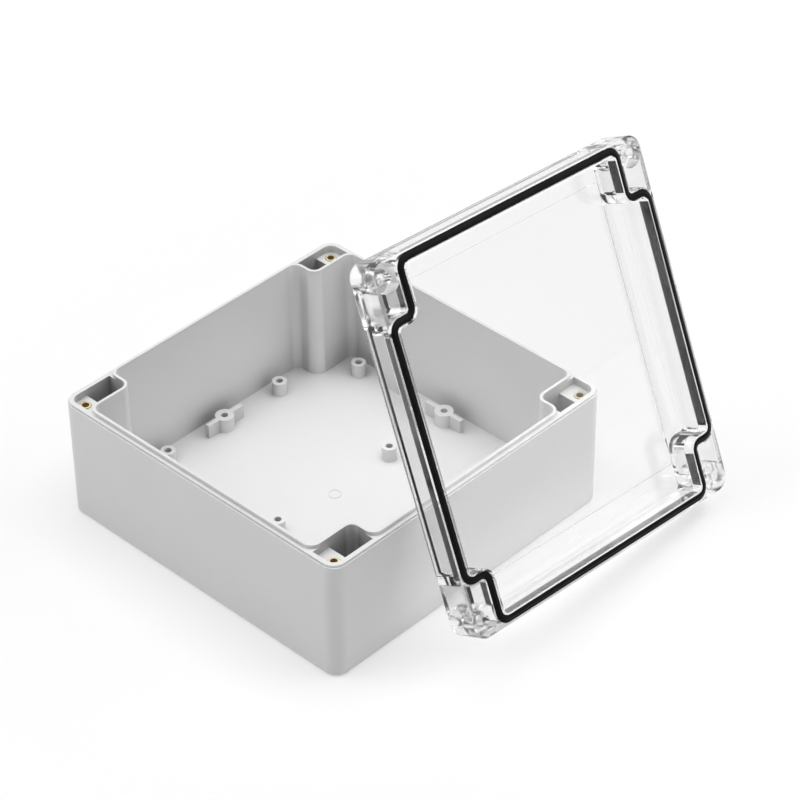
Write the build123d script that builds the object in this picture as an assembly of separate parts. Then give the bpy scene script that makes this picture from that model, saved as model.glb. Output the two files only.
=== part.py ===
from build123d import *
import math
import os

# Polycarbonate wall-mounting enclosure: an open grey base with outside corner wells and
# brass threaded inserts, and a clear lid with its gasket, taken off and leaning on the base.
# Millimetres, +Z up, origin on the ground under the middle of the base.
# +X runs along the wall that the lid leans on, +Y from that wall to the one behind it.

# overall sizes
side_length = 180.0         # outside of the base and of the lid, both ways
corner_radius = 7.5         # upright corners
ledge_height = 66.0         # ground to the ledge that the lid sits on
lid_height = 17.0           # ledge to the outer face of the closed lid

# walls of the base
rim_wall = 3.0              # outer wall beside a corner well, at the ledge
base_draft = 0.3            # each outer wall leans in by this much at the ground
cavity_draft = 0.8          # each cavity wall leans in by this much at the floor
floor_top = 4.9             # ground to the cavity floor
foot_depth = 1.6            # hollow of the underside, inside the rim that the base stands on
foot_inset = 6.4            # seal line to that hollow
bottom_radius = 2.0         # lower outer edge

# shadow line below the ledge
shoulder_inset = 0.7
shoulder_drop = 1.2

# stepped seal line: the tongue of the base and the groove of the lid share it
seal_inset = 3.2            # outer face to the seal line along the straight walls
well_length = 28.4          # outer face to the seal line at a well, along X in the base
well_width = 16.9           # outer face to the seal line at a well, along Y in the base
seal_radius = 4.8           # seal line where it turns with the wall
notch_radius = 4.5          # seal line where it goes round a well
least_radius = 1.0          # smallest radius left where the line is moved inwards
tongue_width = 1.4
tongue_rise = 2.0

# corner wells, threaded inserts and wall screws
insert_inset = 8.0          # outer faces to an insert's axis
pad_drop = 4.0              # ledge down to the pad round an insert
pad_reach = 13.4            # outer face to the pad's free edge
insert_collar = 2.9         # radius of an insert's collar, which sits on the pad
insert_collar_rise = 0.3
insert_body = 2.6           # radius of an insert's body, a press fit in the pad
insert_depth = 8.0          # pad to the lower end of the body
insert_thread = 1.65        # radius of the tapped hole
insert_mouth = 2.1          # radius of the countersink at its mouth
wall_screw_hole = 2.4       # radius of the hole for a wall screw in the bottom of a pocket

# bosses on the floor
boss_height = 7.6
boss_radius = 3.75
wing_boss_radius = 4.75
boss_hole = 1.8
boss_hole_depth = 6.8
wing_span = 23.5
wing_thickness = 2.3
wing_grid = 76.2            # middle of the base to a winged boss
inner_grid = 38.1           # middle of the base to an inner boss
side_grid = 58.0            # along Y to a boss beside a wall
gate_radius = 3.3           # ring left by the mould gate
gate_line = 0.5
gate_rise = 0.3

# lid
lid_skin = 3.0              # top plate
lid_skirt = 2.4             # outer wall of the lid
lid_draft = 0.4             # each outer wall leans in by this much at the outer face
lid_edge_radius = 2.0
panel_half = 72.0           # half of the sunk field in the outer face
panel_radius = 2.0
panel_depth = 0.8
groove_width = 3.2
groove_depth = 4.7          # below the mouth of the lid
pocket_wall = 1.4           # groove to a corner pocket, outside the seal
lip_width = 0.9             # groove to the hollow of the lid, inside the seal
lip_rise = 1.2              # how far that lip stands out of the mouth
lid_boss = 7.2              # radius of a corner boss
lid_screw_hole = 2.3
lid_screw_head = 4.3
lid_head_depth = 8.0       # outer face to the seat of a screw head

# gasket
gasket_width = 3.0
gasket_thickness = 4.5
gasket_chamfer = 0.5        # edges of its exposed face

# how the lid leans
lean = 25.55                # degrees from upright
yaw = 2.55                  # degrees round +Z
turn = 5.37                 # degrees in its own plane
lid_middle = 51.0           # middle of the lid's outer face along X
lean_gap = 0.3              # lid to base where they meet
stand_off = 60.0            # where the lid stands before it is moved up to the base

half = side_length / 2
seal_half = half - seal_inset
notch_x = half - well_length
notch_y = half - well_width
tongue_top = ledge_height + tongue_rise
pad_top = ledge_height - pad_drop
shoulder_top = ledge_height - shoulder_drop
boss_top = floor_top + boss_height
insert_place = half - insert_inset
well_edge = half - rim_wall
pad_edge = half - pad_reach
pocket_near = notch_x + tongue_width / 2
pocket_side = notch_y + tongue_width / 2
screw_x = (pocket_near + pad_edge) / 2
screw_y = (pocket_side + well_edge) / 2

corners = [(1, 1), (-1, 1), (-1, -1), (1, -1)]
corner_names = {(1, 1): "back", (-1, 1): "left", (-1, -1): "front", (1, -1): "right"}


def rounded_square(half_side, radius):
    return RectangleRounded(2 * half_side, 2 * half_side, radius)


def at_height(sketch, height):
    return Pos(0, 0, height) * sketch


def stepped_field(grow):
    """Field inside the seal line, with its outline moved out by grow."""
    reach = seal_half + grow
    near_x = notch_x + grow
    near_y = notch_y + grow
    points = [
        (reach, near_y), (near_x, near_y), (near_x, reach),
        (-near_x, reach), (-near_x, near_y), (-reach, near_y),
        (-reach, -near_y), (-near_x, -near_y), (-near_x, -reach),
        (near_x, -reach), (near_x, -near_y), (reach, -near_y),
    ]
    outward_turn = max(seal_radius + grow, least_radius)
    rounds = [outward_turn, notch_radius - grow, outward_turn] * 4
    return make_face(FilletPolyline(*points, radius=rounds, close=True))


def column(sketch, bottom, top):
    return extrude(at_height(sketch, bottom), top - bottom)


def stepped_ring(inner, outer, bottom, top):
    return column(stepped_field(outer), bottom, top) - column(stepped_field(inner), bottom, top)


def cylinder(x, y, radius, bottom, top):
    return Pos(x, y, bottom) * extrude(Circle(radius), top - bottom)


def block(low, high):
    size = [b - a for a, b in zip(low, high)]
    middle = [(a + b) / 2 for a, b in zip(low, high)]
    return Pos(*middle) * Box(*size)


def base_shell():
    """Outer form, cavity, ledge, tongue and the hollow of the underside."""
    foot = rounded_square(half - base_draft, corner_radius - base_draft)
    wall = rounded_square(half, corner_radius)
    body = loft([foot, at_height(wall, shoulder_top)])
    body = fillet(body.faces().sort_by(Axis.Z)[0].edges(), bottom_radius)
    rim = rounded_square(half - shoulder_inset, corner_radius - shoulder_inset)
    body += column(rim, shoulder_top, ledge_height)
    body += column(stepped_field(tongue_width / 2), ledge_height, tongue_top)
    floor_field = at_height(stepped_field(-tongue_width / 2 - cavity_draft), floor_top)
    rim_field = at_height(stepped_field(-tongue_width / 2), tongue_top)
    body -= loft([floor_field, rim_field], ruled=True)
    body -= column(stepped_field(-foot_inset), 0, foot_depth)
    return body


def corner_well(x_sign, y_sign):
    """Hollow of a corner outside the seal: the space over the pad and the deep pocket."""
    corner = corner_radius - rim_wall
    well = block((pocket_near, pocket_side, pad_top), (well_edge, well_edge, tongue_top))
    upright = well.edges().filter_by(Axis.Z).sort_by(lambda e: e.center().X + e.center().Y)
    well = fillet(upright[-1], corner)
    upright = well.edges().filter_by(Axis.Z).sort_by(lambda e: e.center().X + e.center().Y)
    well = fillet(upright[0], notch_radius - tongue_width / 2)
    pocket = block((pocket_near, pocket_side, floor_top), (pad_edge, well_edge, pad_top))
    upright = pocket.edges().filter_by(Axis.Z).sort_by(lambda e: e.center().X + e.center().Y)
    pocket = fillet(upright[0], notch_radius - tongue_width / 2)
    hollow = well + pocket
    hollow += cylinder(screw_x, screw_y, wall_screw_hole, 0, floor_top)
    if x_sign < 0:
        hollow = mirror(hollow, Plane.YZ)
    if y_sign < 0:
        hollow = mirror(hollow, Plane.XZ)
    return hollow


def winged_boss(x, y):
    """Boss with two flat wings that lie along the nearest wall."""
    boss = cylinder(x, y, wing_boss_radius, floor_top, boss_top)
    along_x = abs(y) > abs(x)
    reach_x = wing_span / 2 if along_x else wing_thickness / 2
    reach_y = wing_thickness / 2 if along_x else wing_span / 2
    return boss + block((x - reach_x, y - reach_y, floor_top), (x + reach_x, y + reach_y, boss_top))


def boss_places():
    """Centres of the winged and of the plain bosses."""
    winged = [(wing_grid, 0), (-wing_grid, 0), (0, wing_grid), (0, -wing_grid)]
    plain = [(inner_grid, 0), (-inner_grid, 0)]
    for x_sign, y_sign in corners:
        plain.append((x_sign * inner_grid, y_sign * wing_grid))
        plain.append((x_sign * wing_grid, y_sign * side_grid))
    return winged, plain


def make_base():
    base = base_shell()
    for x_sign, y_sign in corners:
        base -= corner_well(x_sign, y_sign)
        x = x_sign * insert_place
        y = y_sign * insert_place
        base -= cylinder(x, y, insert_body, pad_top - insert_depth, pad_top)
    winged, plain = boss_places()
    for x, y in winged:
        base += winged_boss(x, y)
    for x, y in plain:
        base += cylinder(x, y, boss_radius, floor_top, boss_top)
    for x, y in winged + plain:
        base -= cylinder(x, y, boss_hole, boss_top - boss_hole_depth, boss_top)
    gate = cylinder(0, 0, gate_radius, floor_top, floor_top + gate_rise)
    base += gate - cylinder(0, 0, gate_radius - gate_line, floor_top, floor_top + gate_rise)
    return base


def make_insert(x, y):
    """Brass insert: body in the pad, collar on it, tapped hole with a countersunk mouth."""
    bottom = pad_top - insert_depth
    top = pad_top + insert_collar_rise
    profile = Polyline(
        (insert_thread, bottom), (insert_body, bottom),
        (insert_body, pad_top), (insert_collar, pad_top),
        (insert_collar, top), (insert_mouth, top),
        (insert_thread, top - (insert_mouth - insert_thread)),
        close=True,
    )
    return Pos(x, y, 0) * revolve(Plane.XZ * make_face(profile), Axis.Z)


def lid_tray():
    """Top plate, skirt and the thick stepped wall that carries the gasket, outer face at Z = 0."""
    face = rounded_square(half - lid_draft, corner_radius - lid_draft)
    mouth = rounded_square(half, corner_radius)
    body = loft([at_height(mouth, -lid_height), face])
    body = fillet(body.faces().sort_by(Axis.Z)[-1].edges(), lid_edge_radius)
    body -= column(stepped_field(-groove_width / 2 - lip_width), -lid_height, -lid_skin)
    skirt_inside = rounded_square(half - lid_skirt, corner_radius - lid_skirt)
    outside_seal = column(skirt_inside, -lid_height, -lid_skin)
    outer_wall = stepped_field(groove_width / 2 + pocket_wall)
    body -= outside_seal - column(outer_wall, -lid_height, -lid_skin)
    return body


def make_lid():
    lid = lid_tray()
    for x_sign, y_sign in corners:
        lid += cylinder(x_sign * insert_place, y_sign * insert_place, lid_boss, -lid_height, -lid_skin)
    half_groove = groove_width / 2
    lid += stepped_ring(-half_groove - lip_width, -half_groove, -lid_height - lip_rise, -lid_height)
    lid -= stepped_ring(-half_groove, half_groove, -lid_height, groove_depth - lid_height)
    lid -= column(rounded_square(panel_half, panel_radius), -panel_depth, 0)
    for x_sign, y_sign in corners:
        x = x_sign * insert_place
        y = y_sign * insert_place
        lid -= cylinder(x, y, lid_screw_hole, -lid_height, 0)
        lid -= cylinder(x, y, lid_screw_head, -lid_head_depth, 0)
    return lid


def make_gasket():
    top = groove_depth - lid_height
    ring = stepped_ring(-gasket_width / 2, gasket_width / 2, top - gasket_thickness, top)
    exposed = ring.faces().sort_by(Axis.Z)[0]
    return chamfer(exposed.edges(), gasket_chamfer)


def lean_directions():
    """Down the lid, and out of its outer face, as the lid leans with its top towards +Y."""
    down = Vector(0, -math.sin(math.radians(lean)), -math.cos(math.radians(lean)))
    outward = Vector(0, math.cos(math.radians(lean)), -math.sin(math.radians(lean)))
    down = down.rotate(Axis.Z, yaw)
    outward = outward.rotate(Axis.Z, yaw)
    across = down.cross(outward)
    down = down * math.cos(math.radians(turn)) - across * math.sin(math.radians(turn))
    return down, outward


def leaning_place(lid, base):
    """Place of the lid: its lowest corner on the ground, its outer face against the base's rim."""
    down, outward = lean_directions()
    start = Plane(origin=(lid_middle, -half - stand_off, 0), x_dir=down, z_dir=outward)
    lowest = (start.location * lid).bounding_box().min.Z
    start = Plane(origin=(lid_middle, -half - stand_off, -lowest), x_dir=down, z_dir=outward)
    clear = base.distance_to(start.location * lid)
    move = (clear - lean_gap) / outward.Y
    end = (lid_middle, -half - stand_off + move, -lowest)
    return Plane(origin=end, x_dir=down, z_dir=outward).location


def main():
    os.makedirs("parts", exist_ok=True)
    base = make_base()
    lid = make_lid()
    place = leaning_place(lid, base)
    pieces = {"base": base, "lid": place * lid, "gasket": place * make_gasket()}
    for x_sign, y_sign in corners:
        name = "insert_" + corner_names[(x_sign, y_sign)]
        pieces[name] = make_insert(x_sign * insert_place, y_sign * insert_place)
    for name, piece in pieces.items():
        export_step(piece, "parts/" + name + ".step")
    print("lid origin", place.position)


main()
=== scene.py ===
"""Looks of a polycarbonate wall-mounting enclosure: grey base, clear lid, gasket and threaded inserts."""
import math

import bmesh
import bpy
from mathutils import Matrix, Vector


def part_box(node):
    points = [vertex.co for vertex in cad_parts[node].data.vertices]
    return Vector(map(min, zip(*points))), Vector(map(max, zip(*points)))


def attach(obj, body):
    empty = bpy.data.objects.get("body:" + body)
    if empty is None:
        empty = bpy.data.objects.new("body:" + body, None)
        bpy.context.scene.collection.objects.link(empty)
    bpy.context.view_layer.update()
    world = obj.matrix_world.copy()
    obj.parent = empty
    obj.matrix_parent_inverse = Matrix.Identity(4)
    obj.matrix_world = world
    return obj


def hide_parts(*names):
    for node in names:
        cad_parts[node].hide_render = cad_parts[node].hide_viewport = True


bl_info = {
    "name": "Polycarbonate Enclosure Looks",
    "version": (1, 0, 0),
    "blender": (4, 5, 0),
    "location": "3D View > Sidebar > Enclosure",
    "description": "Dresses the moulded enclosure: satin base, clear lid, rubber gasket and brass inserts",
    "category": "Object",
}

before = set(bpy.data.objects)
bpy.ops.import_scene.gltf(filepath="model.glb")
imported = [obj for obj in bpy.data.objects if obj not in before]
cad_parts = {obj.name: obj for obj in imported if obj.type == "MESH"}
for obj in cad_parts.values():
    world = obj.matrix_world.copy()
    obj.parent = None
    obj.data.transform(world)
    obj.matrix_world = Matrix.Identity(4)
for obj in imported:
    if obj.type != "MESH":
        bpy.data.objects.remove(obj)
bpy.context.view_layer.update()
MM = 0.001
REFRACTION = 1.585
CORNERS = ("front", "right", "left", "back")

# The lid's place and its seal line, as in the part's source, in millimetres and degrees
LID_ANGLES = (25.55, 2.55, 5.37)
LID_MIDDLE = (51.0, -80.3032, 86.8521)
LID_HEIGHT = 17.0
GROOVE_DEPTH = 4.7
SEAL_HALF = 86.8
NOTCH_X = 61.6
NOTCH_Y = 73.1
SEAL_RADIUS = 4.8
NOTCH_RADIUS = 4.5
ARC_STEPS = 12
COLUMNS_PER_TOOTH = 3


# Settings that a user would change

class BaseSettings(bpy.types.PropertyGroup):
    """Colour and surface of the grey base."""

    colour: bpy.props.FloatVectorProperty(
        name="Colour", description="Colour of the moulded polycarbonate", subtype="COLOR",
        size=3, min=0, max=1, default=(0.67, 0.67, 0.67))
    roughness: bpy.props.FloatProperty(
        name="Roughness", description="Mean roughness of the satin surface",
        min=0, max=1, default=0.42)
    grain_size: bpy.props.FloatProperty(
        name="Grain size", description="Width of one grain of the mould's texture", subtype="DISTANCE",
        default=0.35 * MM)
    grain_depth: bpy.props.FloatProperty(
        name="Grain depth", description="Depth of the mould's texture", subtype="DISTANCE",
        default=0.012 * MM)
    # Painted shade: recess shade and recess reach set how much and how far an ambient-occlusion node darkens
    # the base colour in narrow recesses.
    recess_shade: bpy.props.FloatProperty(
        name="Recess shade", description="Share by which the colour deepens in narrow recesses",
        min=0, max=1, default=0.5)
    recess_reach: bpy.props.FloatProperty(
        name="Recess reach", description="How far a facing wall makes a recess", subtype="DISTANCE",
        default=28 * MM)
    edge_radius: bpy.props.FloatProperty(
        name="Edge radius", description="Rounding of the moulded edges", subtype="DISTANCE",
        default=0.18 * MM)


class LidSettings(bpy.types.PropertyGroup):
    """Colour and surface of the clear lid."""

    tint: bpy.props.FloatVectorProperty(
        name="Tint", description="Colour that the clear polycarbonate lets through", subtype="COLOR",
        size=3, min=0, max=1, default=(0.92, 0.92, 0.92))
    shade: bpy.props.FloatVectorProperty(
        name="Shade", description="Share of lamp light that passes one wall of the lid", subtype="COLOR",
        size=3, min=0, max=1, default=(0.99, 0.99, 0.99))
    roughness: bpy.props.FloatProperty(
        name="Roughness", description="Mean roughness of the polished surface",
        min=0, max=1, default=0.015)
    corner_roughness: bpy.props.FloatProperty(
        name="Corner roughness", description="Roughness of the satin corner blocks",
        min=0, max=1, default=0.13)
    refraction: bpy.props.FloatProperty(
        name="Refractive index", description="Refractive index of polycarbonate",
        min=1, max=2, default=REFRACTION)
    edge_radius: bpy.props.FloatProperty(
        name="Edge radius", description="Rounding of the moulded edges", subtype="DISTANCE",
        default=0.15 * MM)


class GasketSettings(bpy.types.PropertyGroup):
    """Colour and surface of the rubber gasket."""

    colour: bpy.props.FloatVectorProperty(
        name="Colour", description="Colour of the rubber", subtype="COLOR",
        size=3, min=0, max=1, default=(0.003, 0.003, 0.003))
    roughness: bpy.props.FloatProperty(
        name="Roughness", description="Mean roughness of the rubber", min=0, max=1, default=0.34)
    gloss: bpy.props.FloatProperty(
        name="Gloss", description="Strength of the sheen on the rubber", min=0, max=1, default=0.06)
    half_width: bpy.props.FloatProperty(
        name="Half width", description="Half of the gasket's width in its groove", subtype="DISTANCE",
        default=1.5 * MM)
    bead_reach: bpy.props.FloatProperty(
        name="Bead reach", description="Middle of the gasket to the bead's edge on the outer lip",
        subtype="DISTANCE", default=2.15 * MM)
    inner_height: bpy.props.FloatProperty(
        name="Inner height", description="Floor of the groove to the bead along the inner lip",
        subtype="DISTANCE", default=5.6 * MM)
    outer_height: bpy.props.FloatProperty(
        name="Outer height", description="Floor of the groove to the bead's edge on the outer lip",
        subtype="DISTANCE", default=4.95 * MM)


class InsertSettings(bpy.types.PropertyGroup):
    """Thread, knurl and colour of the brass inserts."""

    colour: bpy.props.FloatVectorProperty(
        name="Colour", description="Colour of the brass", subtype="COLOR",
        size=3, min=0, max=1, default=(0.94, 0.82, 0.52))
    # Dark colour of the thread and the collar's edge: tarnish and painted shade in the hole, and a painted
    # shadow gap round the collar.
    tarnish_and_shade_colour: bpy.props.FloatVectorProperty(
        name="Thread colour", description="Colour of the tarnished thread with painted shade", subtype="COLOR",
        size=3, min=0, max=1, default=(0.16, 0.10, 0.035))
    thread_pitch: bpy.props.FloatProperty(
        name="Thread pitch", description="Rise of the thread in one turn", subtype="DISTANCE",
        default=0.7 * MM)
    thread_root: bpy.props.FloatProperty(
        name="Thread root radius", description="Radius of the thread at its deepest", subtype="DISTANCE",
        default=2.0 * MM)
    thread_crest: bpy.props.FloatProperty(
        name="Thread crest radius", description="Radius of the tapped hole", subtype="DISTANCE",
        default=1.65 * MM)
    body_radius: bpy.props.FloatProperty(
        name="Body radius", description="Radius of the knurled body over its teeth", subtype="DISTANCE",
        default=2.6 * MM)
    knurl_teeth: bpy.props.IntProperty(
        name="Knurl teeth", description="Number of teeth round the knurled body", min=8, default=24)
    knurl_depth: bpy.props.FloatProperty(
        name="Knurl depth", description="Depth of a groove between two teeth", subtype="DISTANCE",
        default=0.25 * MM)


class StageSettings(bpy.types.PropertyGroup):
    """Floor, light and camera."""

    floor_half: bpy.props.FloatProperty(
        name="Floor half width", description="Half of the floor's side", subtype="DISTANCE", default=7.0)
    floor_colour: bpy.props.FloatVectorProperty(
        name="Floor colour", description="Colour of the floor", subtype="COLOR",
        size=3, min=0, max=1, default=(0.53, 0.53, 0.53))
    near_glow: bpy.props.FloatProperty(
        name="Near glow", description="Glow of the floor under the object, like a light table",
        min=0, default=0.36)
    far_glow: bpy.props.FloatProperty(
        name="Far glow", description="Glow that keeps the far floor as pale as the near floor",
        min=0, default=0.92)
    near_edge: bpy.props.FloatProperty(
        name="Near edge", description="Distance at which the glow starts to grow", subtype="DISTANCE",
        default=0.2)
    far_edge: bpy.props.FloatProperty(
        name="Far edge", description="Distance at which the glow is full", subtype="DISTANCE", default=2.7)
    sky_strength: bpy.props.FloatProperty(
        name="Sky strength", description="Light that the white studio throws on the object",
        min=0, default=0.08)
    sky_sheen: bpy.props.FloatProperty(
        name="Sky sheen", description="Brightness of the white studio in gloss and through the clear lid",
        min=0, default=0.9)
    top_power: bpy.props.FloatProperty(
        name="Top light power", description="Power of the large soft light overhead", subtype="POWER",
        min=0, default=42.0)
    left_power: bpy.props.FloatProperty(
        name="Left light power", description="Power of the soft light on the left", subtype="POWER",
        min=0, default=12.0)
    right_power: bpy.props.FloatProperty(
        name="Right light power", description="Power of the soft light on the right", subtype="POWER",
        min=0, default=8.5)
    lens: bpy.props.FloatProperty(
        name="Focal length", description="Focal length of the camera, in millimetres",
        min=1, default=141.47)
    distance: bpy.props.FloatProperty(
        name="Camera distance", description="Camera to the point it looks at", subtype="DISTANCE",
        default=1.6528)
    azimuth: bpy.props.FloatProperty(
        name="Camera azimuth", description="Turn of the view about the upright axis", subtype="ANGLE",
        default=math.radians(-46.016))
    elevation: bpy.props.FloatProperty(
        name="Camera elevation", description="Height of the view above the horizon", subtype="ANGLE",
        default=math.radians(37.862))
    roll: bpy.props.FloatProperty(
        name="Camera roll", description="Turn of the camera about its own axis", subtype="ANGLE",
        default=math.radians(-0.519))
    target: bpy.props.FloatVectorProperty(
        name="Camera target", description="Point that the camera looks at", subtype="TRANSLATION",
        size=3, default=(119.97 * MM, 71.425 * MM, -43.744 * MM))


# Shader groups that several materials use

def group_socket(tree, name, in_out, default=None):
    socket = tree.interface.new_socket(name=name, in_out=in_out, socket_type="NodeSocketFloat")
    if default is not None:
        socket.default_value = default
    return socket


def new_group(name):
    tree = bpy.data.node_groups.new(name, "ShaderNodeTree")
    return tree, tree.nodes.new("NodeGroupInput"), tree.nodes.new("NodeGroupOutput")


def add(tree, kind, **values):
    """A new node with its properties set."""
    node = tree.nodes.new(kind)
    for name, value in values.items():
        setattr(node, name, value)
    return node


def make_uneven_group():
    """Slow change over the surface between Low and High, in spots that are Size wide."""
    tree, given, made = new_group("uneven surface")
    group_socket(tree, "Size", "INPUT", 0.02)
    group_socket(tree, "Low", "INPUT", 0.0)
    group_socket(tree, "High", "INPUT", 1.0)
    group_socket(tree, "Value", "OUTPUT")
    place = add(tree, "ShaderNodeTexCoord")
    per_metre = add(tree, "ShaderNodeMath", operation="DIVIDE")
    noise = add(tree, "ShaderNodeTexNoise", noise_dimensions="3D")
    noise.inputs["Detail"].default_value = 3.0
    spread = add(tree, "ShaderNodeMapRange", interpolation_type="SMOOTHSTEP")
    spread.inputs["From Min"].default_value = 0.3
    spread.inputs["From Max"].default_value = 0.7
    per_metre.inputs[0].default_value = 1.0
    tree.links.new(given.outputs["Size"], per_metre.inputs[1])
    tree.links.new(place.outputs["Object"], noise.inputs["Vector"])
    tree.links.new(per_metre.outputs[0], noise.inputs["Scale"])
    tree.links.new(noise.outputs["Fac"], spread.inputs["Value"])
    tree.links.new(given.outputs["Low"], spread.inputs["To Min"])
    tree.links.new(given.outputs["High"], spread.inputs["To Max"])
    tree.links.new(spread.outputs["Result"], made.inputs["Value"])
    return tree


def make_grain_group():
    """Fine texture of a moulded or cast skin, as a height in metres."""
    tree, given, made = new_group("mould grain")
    group_socket(tree, "Size", "INPUT", 0.0003)
    group_socket(tree, "Depth", "INPUT", 0.00001)
    group_socket(tree, "Height", "OUTPUT")
    place = add(tree, "ShaderNodeTexCoord")
    per_metre = add(tree, "ShaderNodeMath", operation="DIVIDE")
    per_metre.inputs[0].default_value = 1.0
    coarse = add(tree, "ShaderNodeTexVoronoi", feature="SMOOTH_F1", voronoi_dimensions="3D")
    fine = add(tree, "ShaderNodeTexNoise", noise_dimensions="3D")
    fine.inputs["Detail"].default_value = 2.0
    both = add(tree, "ShaderNodeMath", operation="ADD")
    high = add(tree, "ShaderNodeMath", operation="MULTIPLY")
    tree.links.new(given.outputs["Size"], per_metre.inputs[1])
    for texture in (coarse, fine):
        tree.links.new(place.outputs["Object"], texture.inputs["Vector"])
        tree.links.new(per_metre.outputs[0], texture.inputs["Scale"])
    tree.links.new(coarse.outputs["Distance"], both.inputs[0])
    tree.links.new(fine.outputs["Fac"], both.inputs[1])
    tree.links.new(both.outputs[0], high.inputs[0])
    tree.links.new(given.outputs["Depth"], high.inputs[1])
    tree.links.new(high.outputs[0], made.inputs["Height"])
    return tree


def group(name, maker):
    """The shader group of that name, built the first time it is asked for."""
    return bpy.data.node_groups.get(name) or maker()


def place_uneven(tree, size, low, high):
    node = add(tree, "ShaderNodeGroup", node_tree=group("uneven surface", make_uneven_group))
    for name, value in (("Size", size), ("Low", low), ("High", high)):
        node.inputs[name].default_value = value
    return node.outputs["Value"]


def place_grain(tree, size, depth):
    node = add(tree, "ShaderNodeGroup", node_tree=group("mould grain", make_grain_group))
    node.inputs["Size"].default_value = size
    node.inputs["Depth"].default_value = depth
    return node.outputs["Height"]


# Materials

def new_material(name):
    """An empty material with its output and one Principled shader."""
    material = bpy.data.materials.new(name)
    material.use_nodes = True
    tree = material.node_tree
    tree.nodes.clear()
    shader = add(tree, "ShaderNodeBsdfPrincipled")
    output = add(tree, "ShaderNodeOutputMaterial")
    tree.links.new(shader.outputs["BSDF"], output.inputs["Surface"])
    return material, tree, shader, output


def add_bump(tree, shader, height):
    """Turns a height in metres into the shader's normal."""
    bump = add(tree, "ShaderNodeBump")
    bump.inputs["Strength"].default_value = 1.0
    bump.inputs["Distance"].default_value = 1.0
    tree.links.new(height, bump.inputs["Height"])
    tree.links.new(bump.outputs["Normal"], shader.inputs["Normal"])


def shaded_colour(tree, colour, share, size):
    """Colour that darkens by the given share in slow, uneven patches."""
    mix = add(tree, "ShaderNodeMix", data_type="RGBA")
    darker = [channel * (1 - share) for channel in colour]
    mix.inputs["A"].default_value = (*colour, 1)
    mix.inputs["B"].default_value = (*darker, 1)
    tree.links.new(place_uneven(tree, size, 0.0, 1.0), mix.inputs["Factor"])
    return mix.outputs["Result"]


def satin_polycarbonate(settings):
    """Opaque grey polycarbonate with the fine grain of an eroded mould, and painted shade that darkens its
    colour in narrow recesses.
    """
    material, tree, shader, _ = new_material("satin grey polycarbonate")
    # Painted shade: the ambient-occlusion value darkens the base colour in narrow recesses.
    recess = add(tree, "ShaderNodeAmbientOcclusion", samples=8, only_local=True)
    recess.inputs["Distance"].default_value = settings.recess_reach
    open_share = add(tree, "ShaderNodeMapRange", interpolation_type="SMOOTHSTEP")
    open_share.inputs["From Min"].default_value = 0.05
    open_share.inputs["From Max"].default_value = 0.85
    deepen = add(tree, "ShaderNodeMix", data_type="RGBA")
    painted_shade_colour = [channel * (1 - settings.recess_shade) for channel in settings.colour]
    deepen.inputs["A"].default_value = (*painted_shade_colour, 1)
    tree.links.new(recess.outputs["AO"], open_share.inputs["Value"])
    tree.links.new(open_share.outputs["Result"], deepen.inputs["Factor"])
    tree.links.new(shaded_colour(tree, settings.colour, 0.02, 0.05), deepen.inputs["B"])
    tree.links.new(deepen.outputs["Result"], shader.inputs["Base Color"])
    rough = place_uneven(tree, 0.03, settings.roughness - 0.05, settings.roughness + 0.05)
    tree.links.new(rough, shader.inputs["Roughness"])
    shader.inputs["IOR"].default_value = REFRACTION
    add_bump(tree, shader, place_grain(tree, settings.grain_size, settings.grain_depth))
    return material


def in_corner_blocks(tree):
    """One in the four corner blocks of the lid, which the mould leaves satin, and zero elsewhere."""
    place = add(tree, "ShaderNodeTexCoord")
    from_middle = add(tree, "ShaderNodeVectorMath", operation="SUBTRACT")
    from_middle.inputs[1].default_value = Vector(LID_MIDDLE) * MM
    tree.links.new(place.outputs["Object"], from_middle.inputs[0])
    both = add(tree, "ShaderNodeMath", operation="MULTIPLY")
    turned = lid_place().to_3x3().normalized()
    fade = 1.5
    for index, edge in enumerate((NOTCH_X, NOTCH_Y)):
        along = add(tree, "ShaderNodeVectorMath", operation="DOT_PRODUCT")
        along.inputs[1].default_value = turned.col[index]
        far = add(tree, "ShaderNodeMath", operation="ABSOLUTE")
        mask = add(tree, "ShaderNodeMapRange")
        mask.inputs["From Min"].default_value = (edge - fade) * MM
        mask.inputs["From Max"].default_value = (edge + fade) * MM
        tree.links.new(from_middle.outputs["Vector"], along.inputs[0])
        tree.links.new(along.outputs["Value"], far.inputs[0])
        tree.links.new(far.outputs[0], mask.inputs["Value"])
        tree.links.new(mask.outputs["Result"], both.inputs[index])
    return both.outputs[0]


def clear_polycarbonate(settings):
    """Clear polished polycarbonate; lamps shine through it."""
    material, tree, shader, output = new_material("clear polycarbonate")
    shader.inputs["Base Color"].default_value = (*settings.tint, 1)
    shader.inputs["Metallic"].default_value = 0.0
    shader.inputs["Transmission Weight"].default_value = 1.0
    shader.inputs["IOR"].default_value = settings.refraction
    polished = place_uneven(tree, 0.04, settings.roughness * 0.5, settings.roughness * 1.5)
    rough = add(tree, "ShaderNodeMapRange")
    rough.inputs["To Max"].default_value = settings.corner_roughness
    tree.links.new(in_corner_blocks(tree), rough.inputs["Value"])
    tree.links.new(polished, rough.inputs["To Min"])
    tree.links.new(rough.outputs["Result"], shader.inputs["Roughness"])
    through = add(tree, "ShaderNodeBsdfTransparent")
    through.inputs["Color"].default_value = (*settings.shade, 1)
    path = add(tree, "ShaderNodeLightPath")
    either = add(tree, "ShaderNodeMixShader")
    tree.links.new(path.outputs["Is Shadow Ray"], either.inputs["Fac"])
    tree.links.new(shader.outputs["BSDF"], either.inputs[1])
    tree.links.new(through.outputs["BSDF"], either.inputs[2])
    tree.links.new(either.outputs["Shader"], output.inputs["Surface"])
    return material


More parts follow.
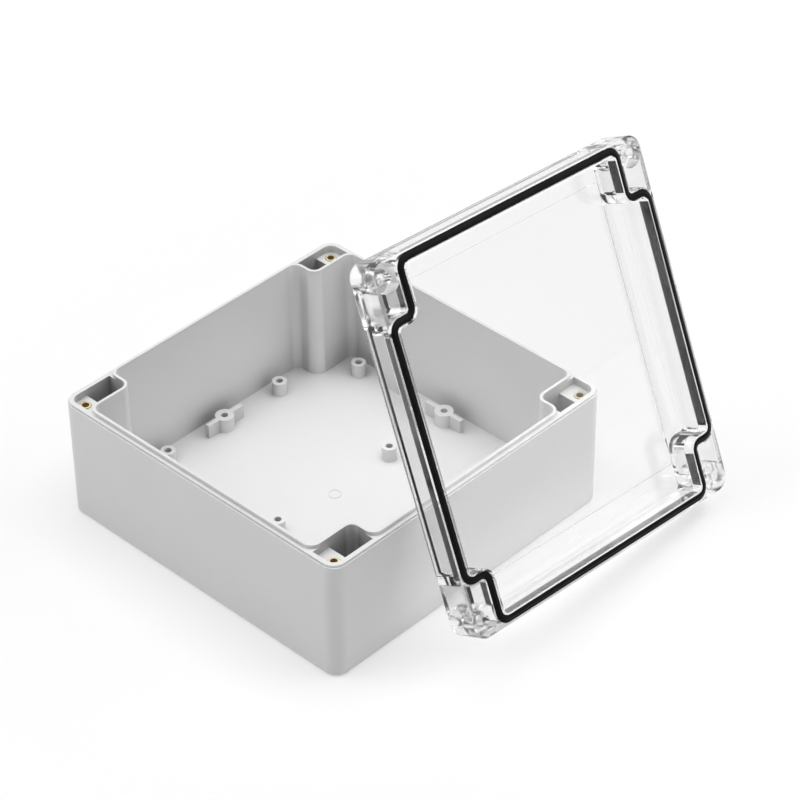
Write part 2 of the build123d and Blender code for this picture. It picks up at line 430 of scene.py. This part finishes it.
def black_rubber(settings):
    """Black moulded rubber with a slight bloom."""
    material, tree, shader, _ = new_material("black gasket rubber")
    mix = add(tree, "ShaderNodeMix", data_type="RGBA")
    mix.inputs["A"].default_value = (*settings.colour, 1)
    bloom = [channel * 2.2 for channel in settings.colour]
    mix.inputs["B"].default_value = (*bloom, 1)
    tree.links.new(place_uneven(tree, 0.006, 0.0, 1.0), mix.inputs["Factor"])
    tree.links.new(mix.outputs["Result"], shader.inputs["Base Color"])
    rough = place_uneven(tree, 0.01, settings.roughness - 0.06, settings.roughness + 0.08)
    tree.links.new(rough, shader.inputs["Roughness"])
    shader.inputs["IOR"].default_value = 1.5
    shader.inputs["Specular IOR Level"].default_value = settings.gloss
    add_bump(tree, shader, place_grain(tree, 0.25 * MM, 0.006 * MM))
    return material


def turned_brass(settings, name, colour, roughness):
    """Turned brass with a little tarnish."""
    material, tree, shader, _ = new_material(name)
    tree.links.new(shaded_colour(tree, colour, 0.25, 0.002), shader.inputs["Base Color"])
    shader.inputs["Metallic"].default_value = 1.0
    rough = place_uneven(tree, 0.001, roughness - 0.08, roughness + 0.08)
    tree.links.new(rough, shader.inputs["Roughness"])
    add_bump(tree, shader, place_grain(tree, 0.08 * MM, 0.003 * MM))
    return material


# Shapes

def dress(node, material):
    """Gives the CAD node this material everywhere."""
    node.data.materials.clear()
    node.data.materials.append(material)


def soften_edges(node, radius):
    """Rounds the sharp moulded edges of a CAD node by modifiers, its own mesh left as it is."""
    weld = node.modifiers.new("join faces", "WELD")
    weld.merge_threshold = 0.001 * MM
    flat = node.modifiers.new("plane faces", "DECIMATE")
    flat.decimate_type = "DISSOLVE"
    flat.angle_limit = math.radians(0.2)
    bevel = node.modifiers.new("moulded edges", "BEVEL")
    bevel.width = radius
    bevel.segments = 2
    bevel.limit_method = "ANGLE"
    bevel.angle_limit = math.radians(35)


def shade_smooth(obj):
    for face in obj.data.polygons:
        face.use_smooth = True


def link_piece(name, mesh):
    piece = bpy.data.objects.new(name, mesh)
    bpy.context.scene.collection.objects.link(piece)
    return piece


def closed_mesh(name, build, loops):
    """Mesh of faces between loops of vertices, each loop closed and the last joined to the first."""
    for first, second in zip(loops, loops[1:] + loops[:1]):
        for index, vert in enumerate(first):
            after = (index + 1) % len(first)
            build.faces.new((vert, first[after], second[after], second[index]))
    bmesh.ops.recalc_face_normals(build, faces=build.faces)
    mesh = bpy.data.meshes.new(name)
    build.to_mesh(mesh)
    build.free()
    return mesh


def lid_place():
    """Turns the lid's own directions, in millimetres, into the frame: X down the lid, Z out of its face."""
    lean, yaw, turn = (math.radians(angle) for angle in LID_ANGLES)
    down = Vector((0, -math.sin(lean), -math.cos(lean)))
    outward = Vector((0, math.cos(lean), -math.sin(lean)))
    yawed = Matrix.Rotation(yaw, 3, "Z")
    down, outward = yawed @ down, yawed @ outward
    across = down.cross(outward)
    down = down * math.cos(turn) - across * math.sin(turn)
    turned = Matrix((down, outward.cross(down), outward)).transposed().to_4x4()
    return Matrix.Translation(Vector(LID_MIDDLE) * MM) @ turned @ Matrix.Scale(MM, 4)


def arc_points(middle, radius, start, end):
    """Points of an arc with the way that faces out from its middle, from one angle to another."""
    points = []
    for step in range(ARC_STEPS + 1):
        angle = math.radians(start + (end - start) * step / ARC_STEPS)
        way = Vector((math.cos(angle), math.sin(angle)))
        points.append((Vector(middle) + way * radius, way))
    return points


def seal_line():
    """Points of the closed seal line, each with the way out of the lid, in the lid's own plane."""
    near_x, near_y = SEAL_HALF - SEAL_RADIUS, NOTCH_Y - SEAL_RADIUS
    quarter = arc_points((NOTCH_X - SEAL_RADIUS, near_x), SEAL_RADIUS, 90, 0)
    notch = arc_points((NOTCH_X + NOTCH_RADIUS, NOTCH_Y + NOTCH_RADIUS), NOTCH_RADIUS, 180, 270)
    quarter += [(point, -way) for point, way in notch]
    quarter += arc_points((near_x, near_y), SEAL_RADIUS, 90, 0)
    line = []
    for x_sign, y_sign in ((1, 1), (1, -1), (-1, -1), (-1, 1)):
        mirror = Vector((x_sign, y_sign))
        part = [(point * mirror, way * mirror) for point, way in quarter]
        line += part if x_sign == y_sign else part[::-1]
    return line


def gasket_section(settings):
    """Outline of the gasket across the seal line: out of the lid, and up from the floor of the groove."""
    half, reach = settings.half_width / MM, settings.bead_reach / MM
    high, low = settings.inner_height / MM, settings.outer_height / MM
    mouth = GROOVE_DEPTH + 0.02
    shoulder, nose, foot_edge, bevel = 0.42, 0.35, 0.08, 0.3
    inner, outer = shoulder - half, reach - nose
    crown = [(-half, high - 0.45), (-half + 0.12, high - 0.15), (inner, high)]
    ridge = ((0.17, 0.08), (0.32, 0.10), (0.41, 0.32), (0.50, 0.32), (0.59, 0.10), (0.80, 0.06))
    for share, bulge in ridge:
        crown.append((inner + (outer - inner) * share, high + (low - high) * share + bulge))
    crown += [(outer, low), (reach - foot_edge, low - foot_edge), (reach, mouth + foot_edge)]
    foot = [(reach - foot_edge, mouth), (half + 0.02, mouth), (half, mouth - 0.12)]
    floor = [(half, bevel), (half - bevel, 0.0), (bevel - half, 0.0), (-half, bevel)]
    return crown + foot + floor


def gasket_mesh(settings):
    """Closed mesh of the gasket, swept along the seal line and put in the lid."""
    place = lid_place()
    floor = GROOVE_DEPTH - LID_HEIGHT
    section = gasket_section(settings)
    build = bmesh.new()
    loops = []
    for point, way in seal_line():
        loop = []
        for out, rise in section:
            spot = Vector((point.x + way.x * out, point.y + way.y * out, floor - rise))
            loop.append(build.verts.new(place @ spot))
        loops.append(loop)
    return closed_mesh("moulded_gasket", build, loops)


def ring_radius(settings, column, kind, height):
    """Radius of one column of an insert's ring, where kind is knurl, thread or a plain radius."""
    if kind == "knurl":
        groove = column % COLUMNS_PER_TOOTH == 0
        return settings.body_radius - (settings.knurl_depth if groove else 0.0)
    if kind == "thread":
        columns = settings.knurl_teeth * COLUMNS_PER_TOOTH
        phase = (height / settings.thread_pitch - column / columns) % 1.0
        flank = 1.0 - abs(2.0 * phase - 1.0)
        return settings.thread_crest + (settings.thread_root - settings.thread_crest) * flank
    return kind


def insert_rings(settings, low, high):
    """Rings of an insert from the foot of its hole, round the outside and down the thread."""
    collar_rise = 0.3 * MM
    collar = (high.x - low.x) / 2
    break_edge = 0.1 * MM
    pad = high.z - collar_rise
    bottom = low.z
    length = pad - bottom
    waist = settings.body_radius - 1.4 * settings.knurl_depth
    knurled_bands = ((0.04, 0.38), (0.62, 0.96))
    rings = [(waist, bottom)]
    for start, end in knurled_bands:
        first = bottom + length * start
        last = bottom + length * end
        rings += [(waist, first), ("knurl", first + break_edge), ("knurl", last - break_edge), (waist, last)]
    rings += [(settings.body_radius, pad), (collar, pad), (collar, high.z - break_edge)]
    rings += [(collar - break_edge, high.z), (settings.thread_crest + break_edge, high.z)]
    thread_top = high.z - 2 * break_edge
    rings += [(settings.thread_crest, thread_top)]
    steps_per_turn = 6
    steps = int((thread_top - bottom) / settings.thread_pitch * steps_per_turn)
    for step in range(1, steps + 1):
        rings.append(("thread", thread_top - (thread_top - bottom) * step / steps))
    return rings


def insert_mesh(settings, name, low, high):
    """Closed mesh of one threaded insert, in place."""
    columns = settings.knurl_teeth * COLUMNS_PER_TOOTH
    middle = (low + high) / 2
    build = bmesh.new()
    loops = []
    for kind, height in insert_rings(settings, low, high):
        loop = []
        for column in range(columns):
            angle = 2 * math.pi * column / columns
            radius = ring_radius(settings, column, kind, height)
            place = (middle.x + radius * math.cos(angle), middle.y + radius * math.sin(angle), height)
            loop.append(build.verts.new(place))
        loops.append(loop)
    return closed_mesh(name, build, loops)


def tarnish(settings, mesh, middle, collar):
    """Gives the faces inside the tapped hole and round the collar's edge the second material, whose dark
    colour is tarnish and painted shade in the hole and a painted shadow gap round the collar.
    """
    for face in mesh.polygons:
        out = (face.center.xy - middle.xy).length
        if out < settings.thread_root + 0.03 * MM or out > collar - 0.06 * MM:
            face.material_index = 1


# Operators, one for each piece and one for the stage

class ENCLOSURE_OT_base(bpy.types.Operator):
    """Dress the grey base"""

    bl_idname = "enclosure.base"
    bl_label = "Dress Base"

    def execute(self, context):
        settings = context.scene.enclosure_base
        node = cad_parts["base"]
        dress(node, satin_polycarbonate(settings))
        soften_edges(node, settings.edge_radius)
        return {"FINISHED"}


class ENCLOSURE_OT_lid(bpy.types.Operator):
    """Dress the clear lid"""

    bl_idname = "enclosure.lid"
    bl_label = "Dress Lid"

    def execute(self, context):
        settings = context.scene.enclosure_lid
        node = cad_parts["lid"]
        dress(node, clear_polycarbonate(settings))
        soften_edges(node, settings.edge_radius)
        return {"FINISHED"}


class ENCLOSURE_OT_gasket(bpy.types.Operator):
    """Build the rubber gasket"""

    bl_idname = "enclosure.gasket"
    bl_label = "Build Gasket"

    def execute(self, context):
        settings = context.scene.enclosure_gasket
        piece = link_piece("moulded_gasket", gasket_mesh(settings))
        piece.data.materials.append(black_rubber(settings))
        shade_smooth(piece)
        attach(piece, "lid")
        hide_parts("gasket")
        return {"FINISHED"}


class ENCLOSURE_OT_inserts(bpy.types.Operator):
    """Build the four threaded inserts"""

    bl_idname = "enclosure.inserts"
    bl_label = "Build Inserts"

    def execute(self, context):
        settings = context.scene.enclosure_inserts
        brass = turned_brass(settings, "turned brass", settings.colour, 0.30)
        # The thread material's dark colour is tarnish and painted shade in the hole, and a painted shadow
        # gap round the collar's edge.
        thread = turned_brass(settings, "tarnished thread with painted shade", settings.tarnish_and_shade_colour, 0.45)
        for corner in CORNERS:
            node = "insert_" + corner
            low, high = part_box(node)
            piece = link_piece("threaded_insert_" + corner, insert_mesh(settings, node, low, high))
            piece.data.materials.append(brass)
            piece.data.materials.append(thread)
            # Paints the hole's thread and the collar's edge darker: tarnish and painted shade.
            tarnish(settings, piece.data, (low + high) / 2, (high.x - low.x) / 2)
            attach(piece, "base")
            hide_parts(node)
        return {"FINISHED"}


def make_floor(settings):
    """Pale floor with a faint glow that grows with the distance from the object."""
    build = bmesh.new()
    bmesh.ops.create_grid(build, x_segments=1, y_segments=1, size=settings.floor_half)
    mesh = bpy.data.meshes.new("floor")
    build.to_mesh(mesh)
    build.free()
    floor = link_piece("floor", mesh)
    floor.location.z = -0.05 * MM
    material, tree, shader, _ = new_material("pale floor")
    shader.inputs["Base Color"].default_value = (*settings.floor_colour, 1)
    shader.inputs["Emission Color"].default_value = (1, 1, 1, 1)
    place = add(tree, "ShaderNodeTexCoord")
    away = add(tree, "ShaderNodeVectorMath", operation="LENGTH")
    glow = add(tree, "ShaderNodeMapRange")
    glow.inputs["From Min"].default_value = settings.near_edge
    glow.inputs["From Max"].default_value = settings.far_edge
    glow.inputs["To Min"].default_value = settings.near_glow
    glow.inputs["To Max"].default_value = settings.far_glow
    tree.links.new(place.outputs["Object"], away.inputs[0])
    tree.links.new(away.outputs["Value"], glow.inputs["Value"])
    tree.links.new(glow.outputs["Result"], shader.inputs["Emission Strength"])
    shader.inputs["Roughness"].default_value = 0.9
    shader.inputs["Specular IOR Level"].default_value = 0.1
    floor.data.materials.append(material)


def make_sky(settings):
    """White studio round the object, paler in gloss and through the lid than its light is strong."""
    world = bpy.data.worlds.new("white studio")
    world.use_nodes = True
    tree = world.node_tree
    background = tree.nodes["Background"]
    background.inputs["Color"].default_value = (1, 1, 1, 1)
    path = add(tree, "ShaderNodeLightPath")
    strength = add(tree, "ShaderNodeMapRange")
    strength.inputs["To Min"].default_value = settings.sky_sheen
    strength.inputs["To Max"].default_value = settings.sky_strength
    tree.links.new(path.outputs["Is Diffuse Ray"], strength.inputs["Value"])
    tree.links.new(strength.outputs["Result"], background.inputs["Strength"])
    bpy.context.scene.world = world


def make_softbox(name, power, size, place, target):
    """Rectangular lamp at a place, facing the target."""
    light = bpy.data.lights.new(name, "AREA")
    light.shape = "RECTANGLE"
    light.size, light.size_y = size
    light.energy = power
    lamp = bpy.data.objects.new(name, light)
    lamp.location = place
    lamp.rotation_euler = (Vector(target) - Vector(place)).to_track_quat("-Z", "Y").to_euler()
    bpy.context.scene.collection.objects.link(lamp)


def make_camera(settings):
    """Camera that looks at the target from an azimuth and elevation, with a roll."""
    azimuth, elevation, roll = settings.azimuth, settings.elevation, settings.roll
    back = Vector((math.sin(azimuth) * math.cos(elevation),
                   -math.cos(azimuth) * math.cos(elevation),
                   math.sin(elevation)))
    level = Vector((math.cos(azimuth), math.sin(azimuth), 0))
    upward = back.cross(level)
    right = level * math.cos(roll) + upward * math.sin(roll)
    top = -level * math.sin(roll) + upward * math.cos(roll)
    data = bpy.data.cameras.new("photo view")
    data.sensor_width = 36.0
    data.lens = settings.lens
    data.clip_start = 0.05
    data.clip_end = 50.0
    camera = bpy.data.objects.new("photo view", data)
    place = Vector(settings.target) + back * settings.distance
    turn = Matrix((right, top, back)).transposed().to_4x4()
    camera.matrix_world = Matrix.Translation(place) @ turn
    bpy.context.scene.collection.objects.link(camera)
    bpy.context.scene.camera = camera


class ENCLOSURE_OT_stage(bpy.types.Operator):
    """Build the pale floor, the soft light and the camera"""

    bl_idname = "enclosure.stage"
    bl_label = "Build Stage"

    def execute(self, context):
        settings = context.scene.enclosure_stage
        context.scene.view_settings.view_transform = "Standard"
        make_floor(settings)
        make_sky(settings)
        middle = (0, 0, 0.05)
        make_softbox("top softbox", settings.top_power, (2.0, 2.0), (0, 0, 2.0), middle)
        make_softbox("left softbox", settings.left_power, (1.4, 1.0), (-1.1, 1.1, 1.3), middle)
        make_softbox("right softbox", settings.right_power, (1.4, 1.0), (1.1, -1.1, 1.3), middle)
        make_camera(settings)
        return {"FINISHED"}


class ENCLOSURE_PT_looks(bpy.types.Panel):
    """Lists the pieces of the enclosure and their settings"""

    bl_idname = "ENCLOSURE_PT_looks"
    bl_label = "Enclosure"
    bl_space_type = "VIEW_3D"
    bl_region_type = "UI"
    bl_category = "Enclosure"

    def draw(self, context):
        for operator, name, settings_type in PIECES:
            box = self.layout.box()
            box.operator(operator)
            settings = getattr(context.scene, name)
            for key in settings_type.__annotations__:
                box.prop(settings, key)


PIECES = (
    ("enclosure.base", "enclosure_base", BaseSettings),
    ("enclosure.lid", "enclosure_lid", LidSettings),
    ("enclosure.gasket", "enclosure_gasket", GasketSettings),
    ("enclosure.inserts", "enclosure_inserts", InsertSettings),
    ("enclosure.stage", "enclosure_stage", StageSettings),
)
CLASSES = (
    ENCLOSURE_OT_base,
    ENCLOSURE_OT_lid,
    ENCLOSURE_OT_gasket,
    ENCLOSURE_OT_inserts,
    ENCLOSURE_OT_stage,
    ENCLOSURE_PT_looks,
)


def register():
    for _, name, settings_type in PIECES:
        bpy.utils.register_class(settings_type)
        setattr(bpy.types.Scene, name, bpy.props.PointerProperty(type=settings_type))
    for cls in CLASSES:
        bpy.utils.register_class(cls)


def unregister():
    for cls in reversed(CLASSES):
        bpy.utils.unregister_class(cls)
    for _, name, settings_type in reversed(PIECES):
        delattr(bpy.types.Scene, name)
        bpy.utils.unregister_class(settings_type)


def main():
    register()
    bpy.ops.enclosure.base()
    bpy.ops.enclosure.lid()
    bpy.ops.enclosure.gasket()
    bpy.ops.enclosure.inserts()
    bpy.ops.enclosure.stage()


if __name__ == "__main__":
    main()
